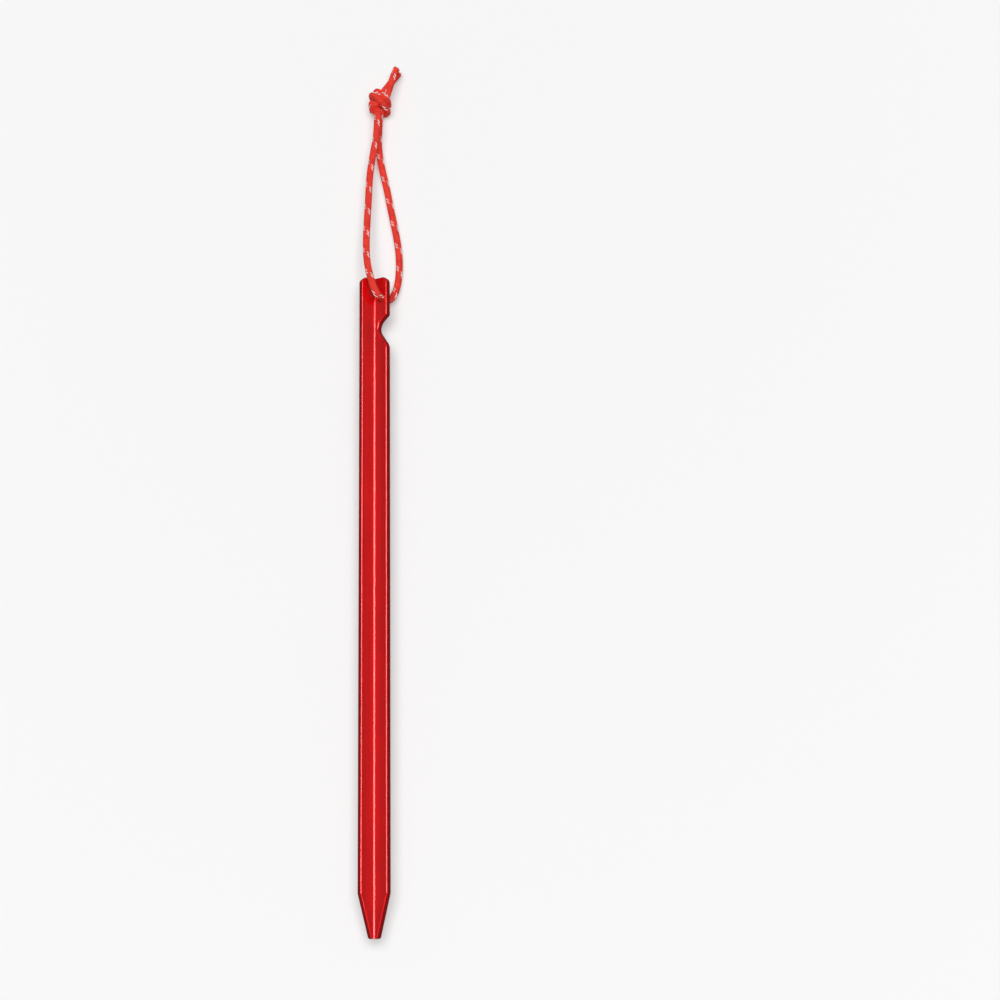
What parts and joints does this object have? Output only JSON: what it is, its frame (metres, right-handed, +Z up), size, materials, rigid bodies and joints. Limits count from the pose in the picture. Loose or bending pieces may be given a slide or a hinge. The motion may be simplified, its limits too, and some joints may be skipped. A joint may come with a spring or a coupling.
{
  "type": "tent stake with cord pull loop",
  "caption": "Anodised Y-section tent stake with a line notch, a cord hole and a knotted reflective pull loop.",
  "frame": {"origin": "bottom centre of the stake's box without the cord: on the down-pointing fin's edge, halfway along", "axes": "+Y along the stake from point to head, +Z up, opposite the down-pointing fin, +X towards the notched fin"},
  "size_m": [0.0119, 0.2461, 0.0099],
  "materials": {
    "anodised": "deep red anodised, satin",
    "cord": "braided polyester sheath, bright red",
    "tracer": "retroreflective tracer yarns in the sheath",
    "fibre": "loose pale core fibres at the cut ends"
  },
  "bodies": {
    "stake": {"stake": "anodised"},
    "pull_loop": {"valley_cord": "cord", "under_cord": "cord", "loop_knot": "cord", "upper_tail": "cord", "lower_tail": "cord"}
  },
  "joints": [
    {"name": "loop_swing", "type": "hinge", "parent": "stake", "child": "pull_loop", "pos_m": [0.00242, 0.0838, 0.0059], "axis": [0.5, 0, -0.866], "range_deg": [0, 150]}
  ]
}
